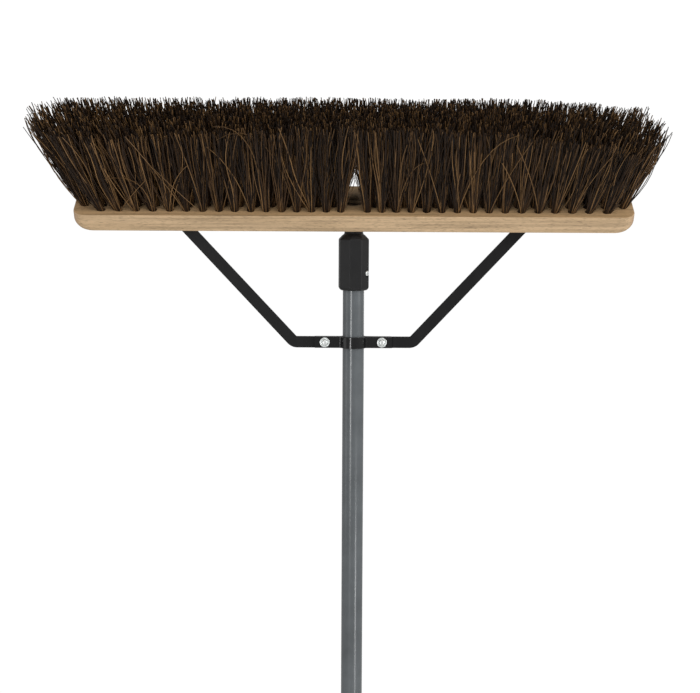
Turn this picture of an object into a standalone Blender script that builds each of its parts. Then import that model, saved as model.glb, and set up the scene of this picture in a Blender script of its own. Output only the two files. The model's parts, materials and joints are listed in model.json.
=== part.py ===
"""Push broom: drilled wooden block, five rows of bristle, steel brace and a screw-in tube handle.

The handle stands along +Z with the head at the top. The origin is the centre of the flat end
of the hang-up cap, +X runs along the block, and the bristles lean towards -Y.
"""
import math

import bmesh
import bpy
from mathutils import Matrix, Vector

MM = 0.001
GAP = 0.3 * MM

# Handle
HANDLE_LENGTH = 1524 * MM
TUBE_RADIUS = 11.9 * MM
TUBE_WALL = 0.9 * MM
CAP_RADIUS = 13.4 * MM
CAP_LENGTH = 51 * MM
CAP_SOLID = 26 * MM
CAP_ROUND = 3 * MM
HANG_HOLE_RADIUS = 5 * MM
HANG_HOLE_HEIGHT = 13 * MM

# Head
HANDLE_TILT = math.radians(30)
BLOCK_LENGTH = 613.5 * MM
BLOCK_WIDTH = 65 * MM
BLOCK_THICKNESS = 20.6 * MM
BLOCK_CORNER = 13 * MM
BLOCK_END_ROUND = 12 * MM
BLOCK_EDGE_ROUND = 2.5 * MM
BLOCK_SHIFT = 11.4 * MM

# Bristles: a tuft's place along its row is FIRST + STEP * k + GROWTH * k * k
ROWS = 5
ROW_PITCH = 10.25 * MM
TUFTS_PER_SIDE = 17
TUFT_FIRST = 14.5 * MM
TUFT_STEP = 15.72 * MM
TUFT_GROWTH = 0.113 * MM
TUFT_RADIUS = 4 * MM
TUFT_DEPTH = 11 * MM
BRISTLE_LENGTH = 108 * MM
TIP_HALF_LENGTH = 342 * MM
OUTER_ROW_TIP_HALF_LENGTH = 326 * MM
TIP_ROW_SPREAD = 1.12

# Threaded tip (3/4 inch, five turns to the inch) and ferrule, measured down from the block
TIP_RISE = 17 * MM
BLOCK_HEIGHT = HANDLE_LENGTH - TIP_RISE
THREAD_LEAD = 5.08 * MM
THREAD_CREST = 9.5 * MM
THREAD_ROOT = 8.0 * MM
THREAD_FIT = 0.35 * MM
FERRULE_FLAT = 16.1 * MM
FERRULE_TURN = math.radians(8)
FERRULE_BOTTOM = BLOCK_HEIGHT - 75 * MM
FERRULE_SHOULDER = BLOCK_HEIGHT - 18.4 * MM
NECK_BOTTOM = BLOCK_HEIGHT - 13.5 * MM
NECK_TOP = BLOCK_HEIGHT - 6.6 * MM
NECK_RADIUS = 10.4 * MM
THREAD_START = NECK_TOP + 1.2 * MM
SOCKET_TOP = BLOCK_HEIGHT - 25 * MM
CORE_RADIUS = 4 * MM
CORE_BOTTOM = BLOCK_HEIGHT - 19 * MM
SCREW_HEIGHT = BLOCK_HEIGHT - 56 * MM
SCREW_BEARING = math.radians(69)
SCREW_SEAT = 14.7 * MM
SCREW_HEAD_RADIUS = 3.3 * MM
SCREW_HEAD_ROOM = 1 * MM
SCREW_SHANK_RADIUS = 1.75 * MM
SCREW_SHANK_ROOM = 0.35 * MM
SCREW_LENGTH = 8 * MM

# Brace and its clamp round the tube
BAR_WIDTH = 12.7 * MM
BAR_THICKNESS = 3.2 * MM
CLAMP_HEIGHT = BLOCK_HEIGHT - 133 * MM
BOLT_SPAN = 63.5 * MM
STRAP_THICKNESS = 2.3 * MM
STRAP_HALF_SPAN = 43 * MM
ARM_INNER_END = 19 * MM
ARM_KNEE = 62.3 * MM
ARM_KNEE_RADIUS = 2.2 * MM
ARM_SLANT = math.radians(43.2)
ARM_FOLD_RADIUS = 4 * MM
FOOT_LENGTH = 30 * MM
BOLT_RADIUS = 2.4 * MM
NUT_HEIGHT = 4 * MM
NUT_HALF_WIDTH = 4 * MM
FOOT_SCREW_REACH = 15 * MM
FOOT_SCREW_RADIUS = 1.85 * MM
FOOT_SCREW_ROOM = 0.4 * MM
FOOT_SCREW_LENGTH = 7.6 * MM
BORE_REACH = 9 * MM

ROUND = 24


def clear_scene():
    for item in list(bpy.data.objects):
        bpy.data.objects.remove(item, do_unlink=True)


def make_material(name, colour, roughness, metallic=0.0):
    material = bpy.data.materials.new(name)
    material.use_nodes = True
    shader = material.node_tree.nodes["Principled BSDF"]
    shader.inputs["Base Color"].default_value = (*colour, 1.0)
    shader.inputs["Roughness"].default_value = roughness
    shader.inputs["Metallic"].default_value = metallic
    return material


def finish_object(name, mesh, material, parent=None):
    """Wrap a mesh in a named, smooth-shaded object."""
    mesh.name = name
    mesh.materials.append(material)
    mesh.shade_smooth()
    mesh.set_sharp_from_angle(angle=math.radians(32))
    item = bpy.data.objects.new(name, mesh)
    bpy.context.scene.collection.objects.link(item)
    item.parent = parent
    return item


def mesh_from(bm):
    bmesh.ops.recalc_face_normals(bm, faces=bm.faces)
    mesh = bpy.data.meshes.new("shape")
    bm.to_mesh(mesh)
    bm.free()
    return mesh


def add_skin(bm, rings, looped=False):
    """Join equal rings of points into a closed skin, capped at both ends or looped round."""
    loops = [[bm.verts.new(point) for point in ring] for ring in rings]
    pairs = list(zip(loops, loops[1:]))
    if looped:
        pairs.append((loops[-1], loops[0]))
    else:
        bm.faces.new(loops[0])
        bm.faces.new(loops[-1])
    count = len(loops[0])
    for low, high in pairs:
        for i in range(count):
            j = (i + 1) % count
            bm.faces.new((low[i], low[j], high[j], high[i]))


def skin(rings, looped=False):
    bm = bmesh.new()
    add_skin(bm, rings, looped)
    return mesh_from(bm)


def circle(radius, z, count=ROUND, start=0.0, centre=(0.0, 0.0)):
    points = []
    for i in range(count):
        angle = start + 2 * math.pi * i / count
        points.append((centre[0] + radius * math.cos(angle), centre[1] + radius * math.sin(angle), z))
    return points


def turned(profile, count=ROUND, looped=False):
    """Revolve (radius, height) points about Z."""
    return skin([circle(radius, z, count) for radius, z in profile], looped)


def quarter(centre, radius, start, steps=4):
    """Points along a quarter circle that starts at the angle start."""
    points = []
    for i in range(steps + 1):
        angle = start + math.pi / 2 * i / steps
        points.append((centre[0] + radius * math.cos(angle), centre[1] + radius * math.sin(angle)))
    return points


def cut(target, mesh, placement=Matrix.Identity(4), operation="DIFFERENCE"):
    """Apply one Boolean between target and a mesh placed in target's own frame."""
    tool = bpy.data.objects.new("cutter", mesh)
    bpy.context.scene.collection.objects.link(tool)
    tool.matrix_world = target.matrix_world @ placement
    tool.hide_render = True
    tool.display_type = "WIRE"
    modifier = target.modifiers.new("cut", "BOOLEAN")
    modifier.operation = operation
    modifier.solver = "EXACT"
    modifier.object = tool
    bpy.context.view_layer.update()
    shape = bpy.data.meshes.new_from_object(target.evaluated_get(bpy.context.evaluated_depsgraph_get()))
    target.modifiers.remove(modifier)
    target.data = shape
    shape.name = target.name
    shape.set_sharp_from_angle(angle=math.radians(32))
    bpy.data.objects.remove(tool, do_unlink=True)


def bearing_frame(height, bearing, distance):
    """A frame on the handle whose +Z points outwards, at a bearing from -Y towards +X."""
    outward = Vector((math.sin(bearing), -math.cos(bearing), 0))
    up = Vector((0, 0, 1))
    turn = Matrix((up.cross(outward), up, outward)).transposed().to_4x4()
    return Matrix.Translation(outward * distance + Vector((0, 0, height))) @ turn


# ---------------------------------------------------------------- handle

def build_tube(material):
    top = SOCKET_TOP - GAP
    bottom = CAP_SOLID + GAP
    inner = TUBE_RADIUS - TUBE_WALL
    profile = [(TUBE_RADIUS, bottom), (TUBE_RADIUS, top), (inner, top), (inner, bottom)]
    tube = finish_object("handle_tube", turned(profile, looped=True), material)
    hole = SCREW_SHANK_RADIUS + SCREW_SHANK_ROOM
    cut(tube, turned([(hole, -BORE_REACH), (hole, BORE_REACH)], 12),
        bearing_frame(SCREW_HEIGHT, SCREW_BEARING, TUBE_RADIUS))
    return tube


def build_hang_cap(material):
    rim = quarter((CAP_RADIUS - CAP_ROUND, CAP_ROUND), CAP_ROUND, -math.pi / 2)
    socket = TUBE_RADIUS + GAP
    profile = rim + [(CAP_RADIUS, CAP_LENGTH - 0.8 * MM), (CAP_RADIUS - 0.8 * MM, CAP_LENGTH)]
    profile += [(socket, CAP_LENGTH), (socket, CAP_SOLID)]
    cap = finish_object("hang_cap", turned(profile), material)
    across = Matrix.Translation((0, 0, HANG_HOLE_HEIGHT)) @ Matrix.Rotation(math.pi / 2, 4, "X")
    cut(cap, turned([(HANG_HOLE_RADIUS, -20 * MM), (HANG_HOLE_RADIUS, 20 * MM)], 20), across)
    return cap


def octagon(flat, z):
    """An octagon with a small flat on each corner: sixteen points."""
    corner = flat / math.cos(math.radians(22.5)) - 0.5 * MM
    points = []
    for k in range(8):
        for lean in (-4.5, 4.5):
            angle = FERRULE_TURN + math.radians(45 * k + 22.5 + lean)
            points.append((corner * math.cos(angle), corner * math.sin(angle), z))
    return points


def round_sixteen(radius, z):
    return circle(radius, z, 16, FERRULE_TURN + math.radians(11.25))


def thread_skin(bottom, top, start, turns, grow=0.0, segments=16):
    """A closed right-hand screw body: a trapezoid thread that fades in and out on its core."""
    axial = grow / THREAD_LEAD
    places = (0.0 - axial, 0.14 - axial, 0.46 + axial, 0.60 + axial)
    root = THREAD_ROOT + grow
    depth = THREAD_CREST - THREAD_ROOT
    rows = 4 * turns
    bm = bmesh.new()

    def point(radius, angle, z):
        return bm.verts.new((radius * math.cos(angle), radius * math.sin(angle), z))

    grid = {}
    for i in range(segments):
        angle = 2 * math.pi * i / segments
        for k in range(rows + (5 if i == 0 else 1)):
            turn = k // 4 + i / segments
            z = start + THREAD_LEAD * (k // 4 + places[k % 4] + i / segments)
            height = max(0.0, min(1.0, turn, turns - turn)) if k % 4 in (1, 2) else 0.0
            grid[k, i] = point(root + depth * height, angle, z)
    floor = [point(root, 2 * math.pi * i / segments, bottom) for i in range(segments)]
    roof = [point(root, 2 * math.pi * i / segments, top) for i in range(segments)]

    def at(k, i):
        return grid[k + 4, 0] if i == segments else grid[k, i]

    for i in range(segments):
        for k in range(rows):
            bm.faces.new((at(k, i), at(k, i + 1), at(k + 1, i + 1), at(k + 1, i)))
    for i in range(1, segments - 1):
        bm.faces.new((floor[i], floor[i + 1], grid[0, i + 1], grid[0, i]))
        bm.faces.new((grid[rows, i], at(rows, i + 1), roof[i + 1], roof[i]))
    last = segments - 1
    bm.faces.new((floor[0], floor[1], grid[0, 1], grid[0, 0]))
    bm.faces.new([floor[last], floor[0]] + [grid[k, 0] for k in range(5)] + [grid[0, last]])
    bm.faces.new((grid[rows, last], grid[rows + 4, 0], roof[0], roof[last]))
    seam = [grid[rows + k, 0] for k in range(4, 0, -1)]
    bm.faces.new([grid[rows, 0], grid[rows, 1], roof[1], roof[0]] + seam)
    bm.faces.new(floor)
    bm.faces.new(roof)
    return mesh_from(bm)


def build_ferrule(material):
    low = FERRULE_BOTTOM
    rings = [round_sixteen(FERRULE_FLAT - 2.6 * MM, low), octagon(FERRULE_FLAT - 0.9 * MM, low + 1.4 * MM),
             octagon(FERRULE_FLAT, low + 3.6 * MM), octagon(FERRULE_FLAT, FERRULE_SHOULDER),
             round_sixteen(12 * MM, NECK_BOTTOM), round_sixteen(NECK_RADIUS, NECK_BOTTOM + 1.6 * MM),
             round_sixteen(NECK_RADIUS, NECK_TOP)]
    ferrule = finish_object("ferrule", skin(rings), material)
    tip = thread_skin(NECK_TOP - 2 * MM, HANDLE_LENGTH, THREAD_START, 3)
    cut(ferrule, tip, operation="UNION")
    socket = TUBE_RADIUS + GAP
    cut(ferrule, turned([(socket, low - MM), (socket, SOCKET_TOP)]))
    bore = CORE_RADIUS + GAP
    cut(ferrule, turned([(bore, CORE_BOTTOM - GAP), (bore, HANDLE_LENGTH + MM)], 16))
    hole = SCREW_SHANK_RADIUS + SCREW_SHANK_ROOM
    recess = SCREW_HEAD_RADIUS + SCREW_HEAD_ROOM
    pocket = [(hole, -BORE_REACH), (hole, -GAP), (recess, -GAP), (recess, BORE_REACH)]
    cut(ferrule, turned(pocket, 12), bearing_frame(SCREW_HEIGHT, SCREW_BEARING, SCREW_SEAT))
    return ferrule


def build_ferrule_screw(material):
    profile = [(MM, -SCREW_LENGTH), (SCREW_SHANK_RADIUS, 1.4 * MM - SCREW_LENGTH), (SCREW_SHANK_RADIUS, 0),
               (SCREW_HEAD_RADIUS, 0), (SCREW_HEAD_RADIUS, 0.8 * MM), (2.5 * MM, 1.6 * MM),
               (1.2 * MM, 2.0 * MM)]
    screw = finish_object("ferrule_screw", turned(profile, 12), material)
    screw.matrix_world = bearing_frame(SCREW_HEIGHT, SCREW_BEARING, SCREW_SEAT)
    return screw


def build_tip_core(material):
    profile = [(CORE_RADIUS - 0.6 * MM, CORE_BOTTOM), (CORE_RADIUS, CORE_BOTTOM + 0.6 * MM),
               (CORE_RADIUS, HANDLE_LENGTH - 0.6 * MM), (CORE_RADIUS - 0.6 * MM, HANDLE_LENGTH)]
    return finish_object("tip_core_pin", turned(profile, 16), material)


# ---------------------------------------------------------------- block and bristles

def tuft_places(row, side):
    """Distances from the middle to each tuft of half a row.

    The middle row is the longest. The outer rows stop one tuft short, clear of the block's round
    corners, and the rows between are staggered, with the same last place as the middle row.
    """
    last = TUFTS_PER_SIDE - 1
    if row == (ROWS - 1) // 2:
        steps = range(last + 1)
    elif row % 2:
        steps = [last * (k + 0.5) / (last - 0.5) for k in range(last)]
    else:
        steps = range(last)
    return [side * (TUFT_FIRST + TUFT_STEP * step + TUFT_GROWTH * step * step) for step in steps]


def row_place(row):
    return BLOCK_SHIFT + (row - (ROWS - 1) / 2) * ROW_PITCH


def rounded_outline(half_length, half_width, corner, z):
    points = []
    for k, (sx, sy) in enumerate(((1, 1), (-1, 1), (-1, -1), (1, -1))):
        middle = (sx * (half_length - corner), BLOCK_SHIFT + sy * (half_width - corner))
        points += [(x, y, z) for x, y in quarter(middle, corner, k * math.pi / 2, 6)]
    return points


def edge_inset(radius, z):
    """How far a rounded edge of this radius stands back at height z above the flat face."""
    rest = max(0.0, radius - z)
    return radius - math.sqrt(radius * radius - rest * rest)


def build_block(material, head):
    levels = [0, 0.35, 1.1, 2.5, 4.5, 7, 9.5, 12]
    rings = []
    for level in [value * MM for value in levels] + [BLOCK_THICKNESS]:
        half_length = BLOCK_LENGTH / 2 - edge_inset(BLOCK_END_ROUND, level)
        half_width = BLOCK_WIDTH / 2 - edge_inset(BLOCK_EDGE_ROUND, level)
        rings.append(rounded_outline(half_length, half_width, BLOCK_CORNER, level))
    block = finish_object("block", skin(rings), material, head)
    bpy.context.view_layer.update()

    holes = bmesh.new()
    for row in range(ROWS):
        for side in (-1, 1):
            for x in tuft_places(row, side):
                centre = (x, row_place(row))
                low = circle(TUFT_RADIUS + GAP, BLOCK_THICKNESS - TUFT_DEPTH, 6, centre=centre)
                high = circle(TUFT_RADIUS + GAP, BLOCK_THICKNESS + 2 * MM, 6, centre=centre)
                add_skin(holes, [low, high])
    cut(block, mesh_from(holes))

    lean = Matrix.Rotation(-HANDLE_TILT, 4, "X")
    start = THREAD_START - BLOCK_HEIGHT - 3 * THREAD_LEAD
    screw = thread_skin(-24 * MM, 48 * MM, start, 11, grow=THREAD_FIT)
    cut(block, screw, lean)
    for side in (-1, 1):
        place = foot_screw_place(side)
        hole = FOOT_SCREW_RADIUS + 0.35 * MM
        pilot = turned([(hole, -MM), (hole, FOOT_SCREW_LENGTH + 0.4 * MM)], 10)
        cut(block, pilot, Matrix.Translation(place))
    return block


def build_bristle_row(row, side, material, head):
    """Half a row as one soft solid that fans out above the block, with a peg in every hole."""
    name = f"bristle_row_{row + 1}_{'left' if side < 0 else 'right'}"
    middle = row - (ROWS - 1) / 2
    low = BLOCK_THICKNESS + GAP
    high = BLOCK_THICKNESS + BRISTLE_LENGTH
    places = [abs(x) for x in tuft_places(row, side)]
    inner_root = places[0] - TUFT_RADIUS - 0.5 * MM
    outer_root = places[-1] + TUFT_RADIUS + 0.5 * MM
    half_root = ROW_PITCH / 2 - 0.5 * MM
    half_tip = ROW_PITCH * TIP_ROW_SPREAD / 2 - GAP / 2
    outer_tip = OUTER_ROW_TIP_HALF_LENGTH if row in (0, ROWS - 1) else TIP_HALF_LENGTH
    y_root = row_place(row)
    y_tip = BLOCK_SHIFT + middle * ROW_PITCH * TIP_ROW_SPREAD

    def section(inner, outer, y, half, z):
        return [(side * inner, y - half, z), (side * outer, y - half, z),
                (side * outer, y + half, z), (side * inner, y + half, z)]

    rings = [section(inner_root, outer_root, y_root, half_root, low),
             section(0.4 * MM, outer_tip, y_tip, half_tip, high)]
    fan = finish_object(name, skin(rings), material, head)
    bpy.context.view_layer.update()
    pegs = bmesh.new()
    for x in places:
        centre = (side * x, y_root)
        foot = circle(TUFT_RADIUS, BLOCK_THICKNESS - TUFT_DEPTH + GAP, 6, centre=centre)
        top = circle(TUFT_RADIUS, low + 1.5 * MM, 6, centre=centre)
        add_skin(pegs, [foot, top])
    cut(fan, mesh_from(pegs), operation="UNION")
    return fan


# ---------------------------------------------------------------- brace

def fold_angle():
    return math.pi / 2 - HANDLE_TILT


def foot_fold():
    """Height above the clamp at which the arms start to fold onto the block."""
    offset = (BAR_THICKNESS / 2 + GAP) / math.cos(HANDLE_TILT)
    return BLOCK_HEIGHT - CLAMP_HEIGHT - offset - ARM_FOLD_RADIUS * math.tan(fold_angle() / 2)


def bend_point(x, rise, depth):
    """Fold a point of the flat bar about X, from the upright plane onto the block's face."""
    run = rise - foot_fold()
    if run <= 0:
        return (x, depth, rise)
    angle = min(run / ARM_FOLD_RADIUS, fold_angle())
    radius = ARM_FOLD_RADIUS - depth
    y = ARM_FOLD_RADIUS - radius * math.cos(angle)
    z = foot_fold() + radius * math.sin(angle)
    extra = run - angle * ARM_FOLD_RADIUS
    return (x, y + extra * math.sin(angle), z + extra * math.cos(angle))


def knee_sections():
    """Edge points of the flat right arm from the clamp to the end of its knee."""
    half = BAR_WIDTH / 2
    sections = [((x, -half), (x, half)) for x in (ARM_INNER_END, ARM_KNEE)]
    centre = (ARM_KNEE, half + ARM_KNEE_RADIUS)
    outer = ARM_KNEE_RADIUS + BAR_WIDTH
    for i in range(1, 7):
        angle = (math.pi / 2 - ARM_SLANT) * i / 6
        sections.append(tuple((centre[0] + radius * math.sin(angle), centre[1] - radius * math.cos(angle))
                              for radius in (outer, ARM_KNEE_RADIUS)))
    return sections


def foot_point(reach):
    """Unfolded (x, rise) on the right arm's centre line, at a distance beyond its fold."""
    low, high = knee_sections()[-1]
    rise = foot_fold() + ARM_FOLD_RADIUS * fold_angle() + reach * math.cos(ARM_SLANT)
    middle = ((low[0] + high[0]) / 2, (low[1] + high[1]) / 2)
    return (middle[0] + (rise - middle[1]) * math.tan(ARM_SLANT), rise)


def arm_sections():
    """Lower and upper edge points of the flat, unfolded right arm, from the clamp to its round end."""
    sections = knee_sections()
    low, high = sections[-1]
    slope = math.tan(ARM_SLANT)
    arc = ARM_FOLD_RADIUS * fold_angle()
    for i in range(7):
        rise = foot_fold() + arc * i / 6
        sections.append(tuple((x + (rise - base) * slope, rise) for x, base in (low, high)))
    half = BAR_WIDTH / 2
    along = (math.sin(ARM_SLANT), math.cos(ARM_SLANT))
    centre = foot_point(FOOT_LENGTH - half)
    for i in range(5):
        angle = math.radians(19 * i)
        middle = [centre[axis] + half * math.sin(angle) * along[axis] for axis in range(2)]
        reach = half * math.cos(angle)
        sections.append(((middle[0] + reach * along[1], middle[1] - reach * along[0]),
                         (middle[0] - reach * along[1], middle[1] + reach * along[0])))
    return sections


def foot_screw_place(side):
    """The foot screw's place on the block's handle-side face, in the head's own frame."""
    x, rise = foot_point(FOOT_SCREW_REACH)
    point = Vector(bend_point(x, rise, 0)) - Vector((0, 0, BLOCK_HEIGHT - CLAMP_HEIGHT))
    local = Matrix.Rotation(-HANDLE_TILT, 3, "X") @ point
    return Vector((side * local.x, local.y, 0))


def build_arm(side, material, clamp):
    name = "brace_arm_" + ("left" if side < 0 else "right")
    rings = []
    half = BAR_THICKNESS / 2
    for low, high in arm_sections():
        corners = [(low, -half), (high, -half), (high, half), (low, half)]
        ring = [bend_point(place[0], place[1], depth) for place, depth in corners]
        rings.append([(side * x, y, z) for x, y, z in ring])
    arm = finish_object(name, skin(rings), material, clamp)
    bpy.context.view_layer.update()
    through = Matrix.Rotation(math.pi / 2, 4, "X")
    bolt = Matrix.Translation((side * BOLT_SPAN / 2, 0, 0)) @ through
    cut(arm, turned([(BOLT_RADIUS + GAP, -BORE_REACH), (BOLT_RADIUS + GAP, BORE_REACH)], 12), bolt)
    x, rise = foot_point(FOOT_SCREW_REACH)
    lean = Matrix.Rotation(HANDLE_TILT, 4, "X")
    screw = Matrix.Translation((side * x, *bend_point(x, rise, 0)[1:])) @ lean
    hole = FOOT_SCREW_RADIUS + FOOT_SCREW_ROOM
    cut(arm, turned([(hole, -BORE_REACH), (hole, BORE_REACH)], 12), screw)
    return arm


def build_saddle(name, facing, material, clamp):
    """A strap that wraps half the tube; facing is -1 for the front strap and 1 for the rear."""
    thick = STRAP_THICKNESS / 2
    loop = TUBE_RADIUS + GAP + thick
    ear = BAR_THICKNESS / 2 + GAP + thick
    bend = 3.2 * MM
    bend_y = ear + bend
    bend_x = math.sqrt((loop + bend) ** 2 - bend_y * bend_y)
    touch = math.atan2(bend_y, bend_x)
    line = [(STRAP_HALF_SPAN, ear, 0.0, 1.0)]
    for i in range(5):
        angle = -math.pi / 2 - (math.pi / 2 - touch) * i / 4
        line.append((bend_x + bend * math.cos(angle), bend_y + bend * math.sin(angle),
                     -math.cos(angle), -math.sin(angle)))
    for i in range(1, 8):
        angle = touch + (math.pi / 2 - touch) * i / 7
        line.append((loop * math.cos(angle), loop * math.sin(angle), math.cos(angle), math.sin(angle)))
    line += [(-x, y, -nx, ny) for x, y, nx, ny in reversed(line[:-1])]
    outline = [(x + nx * thick, facing * (y + ny * thick)) for x, y, nx, ny in line]
    outline += [(x - nx * thick, facing * (y - ny * thick)) for x, y, nx, ny in reversed(line)]
    half = BAR_WIDTH / 2
    rings = [[(x, y, z) for x, y in outline] for z in (-half, half)]
    saddle = finish_object(name, skin(rings), material, clamp)
    bpy.context.view_layer.update()
    through = Matrix.Rotation(math.pi / 2, 4, "X")
    for side in (-1, 1):
        bolt = Matrix.Translation((side * BOLT_SPAN / 2, 0, 0)) @ through
        cut(saddle, turned([(BOLT_RADIUS + GAP, -BORE_REACH), (BOLT_RADIUS + GAP, BORE_REACH)], 12), bolt)
    return saddle


def ear_face():
    return BAR_THICKNESS / 2 + GAP + STRAP_THICKNESS + GAP


def build_clamp_bolt(side, material, clamp):
    seat = ear_face()
    end = -seat - NUT_HEIGHT - 3.4 * MM
    head = [(5.5, 0), (5.5, 0.9), (5.0, 1.3), (4.2, 1.3), (3.9, 1.0), (3.4, 1.1), (2.9, 2.3), (1.6, 2.9)]
    profile = [(BOLT_RADIUS - 0.6 * MM, end), (BOLT_RADIUS, end + 0.6 * MM), (BOLT_RADIUS, seat)]
    profile += [(radius * MM, seat + rise * MM) for radius, rise in head]
    name = "clamp_bolt_" + ("left" if side < 0 else "right")
    bolt = finish_object(name, turned(profile, 20), material, clamp)
    bolt.location = (side * BOLT_SPAN / 2, 0, 0)
    bolt.rotation_euler = (math.pi / 2, 0, 0)
    return bolt


def hexagon(across, z):
    """A hexagon of this half width across its flats, with a point in the middle of each flat."""
    points = []
    for i in range(12):
        angle = math.radians(30 * i)
        radius = across / math.cos(math.radians(30)) if i % 2 else across
        points.append((radius * math.cos(angle), radius * math.sin(angle), z))
    return points


def build_clamp_nut(side, material, clamp):
    low = ear_face()
    high = low + NUT_HEIGHT
    hole = BOLT_RADIUS + GAP
    rings = [hexagon(NUT_HALF_WIDTH, low), hexagon(NUT_HALF_WIDTH, high), circle(hole, high, 12),
             circle(hole, low, 12)]
    name = "clamp_nut_" + ("left" if side < 0 else "right")
    nut = finish_object(name, skin(rings, looped=True), material, clamp)
    nut.location = (side * BOLT_SPAN / 2, 0, 0)
    nut.rotation_euler = (-math.pi / 2, 0, 0)
    return nut


def build_foot_screw(side, material, head):
    """A pan-head wood screw that holds the arm's foot to the block, point up."""
    under = -(BAR_THICKNESS + 2 * GAP)
    profile = [(1.2 * MM, under - 2.4 * MM), (3.0 * MM, under - 2.0 * MM), (3.9 * MM, under - 0.8 * MM),
               (3.9 * MM, under), (FOOT_SCREW_RADIUS, under),
               (FOOT_SCREW_RADIUS, FOOT_SCREW_LENGTH - 2 * MM), (0.5 * MM, FOOT_SCREW_LENGTH)]
    screw = finish_object("brace_screw_" + ("left" if side < 0 else "right"), turned(profile, 12),
                          material, head)
    screw.location = foot_screw_place(side)
    return screw


# ---------------------------------------------------------------- assembly

def add_frame(name, height, tilt=0.0):
    """An empty on the handle's axis, about which the head turns."""
    frame = bpy.data.objects.new(name, None)
    bpy.context.scene.collection.objects.link(frame)
    frame.location = (0, 0, height)
    frame.rotation_euler = (tilt, 0, 0)
    return frame


def main():
    clear_scene()
    wood = make_material("beech", (0.52, 0.38, 0.24), 0.6)
    fibre = make_material("palmyra_fibre", (0.06, 0.035, 0.02), 0.8)
    paint = make_material("black_paint", (0.02, 0.02, 0.02), 0.35)
    plastic = make_material("black_plastic", (0.03, 0.03, 0.03), 0.45)
    enamel = make_material("grey_enamel", (0.12, 0.13, 0.14), 0.3, 0.3)
    zinc = make_material("zinc", (0.75, 0.76, 0.78), 0.25, 1.0)
    steel = make_material("steel", (0.5, 0.5, 0.5), 0.4, 1.0)

    build_tube(enamel)
    build_hang_cap(plastic)
    build_ferrule(plastic)
    build_ferrule_screw(zinc)
    build_tip_core(steel)

    head = add_frame("head_frame", BLOCK_HEIGHT, HANDLE_TILT)
    clamp = add_frame("clamp_frame", CLAMP_HEIGHT)
    bpy.context.view_layer.update()
    build_block(wood, head)
    build_saddle("clamp_front_saddle", -1, paint, clamp)
    build_saddle("clamp_rear_saddle", 1, paint, clamp)
    for side in (-1, 1):
        for row in range(ROWS):
            build_bristle_row(row, side, fibre, head)
        build_arm(side, paint, clamp)
        build_clamp_bolt(side, zinc, clamp)
        build_clamp_nut(side, zinc, clamp)
        build_foot_screw(side, zinc, head)
    bpy.context.view_layer.update()


main()
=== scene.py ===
"""Looks of the push broom: detailed pieces and materials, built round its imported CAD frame.

Everything is in metres. The handle stands along +Z with the head on top, the block runs along X
and the bristles lean towards -Y. Pieces of the head are modelled in the head's own frame, where
the block lies flat on Z = 0 with its bristles pointing up, and a matrix then puts them in place.
"""
import json
import math

import bmesh
import bpy
import numpy as np
from mathutils import Matrix, Vector

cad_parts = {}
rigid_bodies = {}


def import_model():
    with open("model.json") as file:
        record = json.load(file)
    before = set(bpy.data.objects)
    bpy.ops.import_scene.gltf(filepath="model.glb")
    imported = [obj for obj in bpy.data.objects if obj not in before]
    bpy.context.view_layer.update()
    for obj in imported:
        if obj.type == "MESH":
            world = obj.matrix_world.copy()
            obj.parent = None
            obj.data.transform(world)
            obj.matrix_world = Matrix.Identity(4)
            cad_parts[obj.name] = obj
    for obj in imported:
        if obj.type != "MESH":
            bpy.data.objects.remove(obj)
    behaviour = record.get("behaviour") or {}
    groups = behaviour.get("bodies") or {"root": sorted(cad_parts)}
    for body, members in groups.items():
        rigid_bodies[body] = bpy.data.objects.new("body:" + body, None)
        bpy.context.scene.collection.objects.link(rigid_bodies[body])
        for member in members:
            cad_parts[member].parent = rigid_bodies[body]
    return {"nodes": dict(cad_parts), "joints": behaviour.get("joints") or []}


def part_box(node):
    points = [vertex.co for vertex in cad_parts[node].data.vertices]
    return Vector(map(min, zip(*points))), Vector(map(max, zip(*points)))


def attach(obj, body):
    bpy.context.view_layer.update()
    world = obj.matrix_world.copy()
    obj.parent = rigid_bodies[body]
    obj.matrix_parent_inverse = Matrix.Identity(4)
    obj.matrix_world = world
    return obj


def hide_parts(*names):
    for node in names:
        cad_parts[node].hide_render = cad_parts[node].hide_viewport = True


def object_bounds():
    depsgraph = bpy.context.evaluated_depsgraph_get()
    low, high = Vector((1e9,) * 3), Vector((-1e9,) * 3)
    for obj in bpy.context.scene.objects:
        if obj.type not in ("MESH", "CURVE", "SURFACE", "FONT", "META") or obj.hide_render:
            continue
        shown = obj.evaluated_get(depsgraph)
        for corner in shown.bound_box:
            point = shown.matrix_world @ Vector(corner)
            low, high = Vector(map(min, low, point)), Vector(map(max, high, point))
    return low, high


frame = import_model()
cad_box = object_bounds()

MM = 0.001
GAP = 0.3 * MM
SIDES = {"left": -1, "right": 1}
QUARTER = math.pi / 2
QUADRANTS = ((1, 1), (-1, 1), (-1, -1), (1, -1))

# The head's own frame: the screw joint's place, and the handle's tilt out of square with the block
HANDLE_TILT = math.radians(30)
BLOCK_HEIGHT = next(joint for joint in frame["joints"] if joint["name"] == "head_turn")["pos_m"][2]
HEAD = Matrix.Translation((0, 0, BLOCK_HEIGHT)) @ Matrix.Rotation(HANDLE_TILT, 4, "X")


def box_in(node, place):
    """Lowest and highest corner of a CAD node, in the frame that the matrix place sets."""
    back = place.inverted()
    points = np.array([back @ vertex.co for vertex in frame["nodes"][node].data.vertices])
    return Vector(points.min(0)), Vector(points.max(0))


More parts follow.
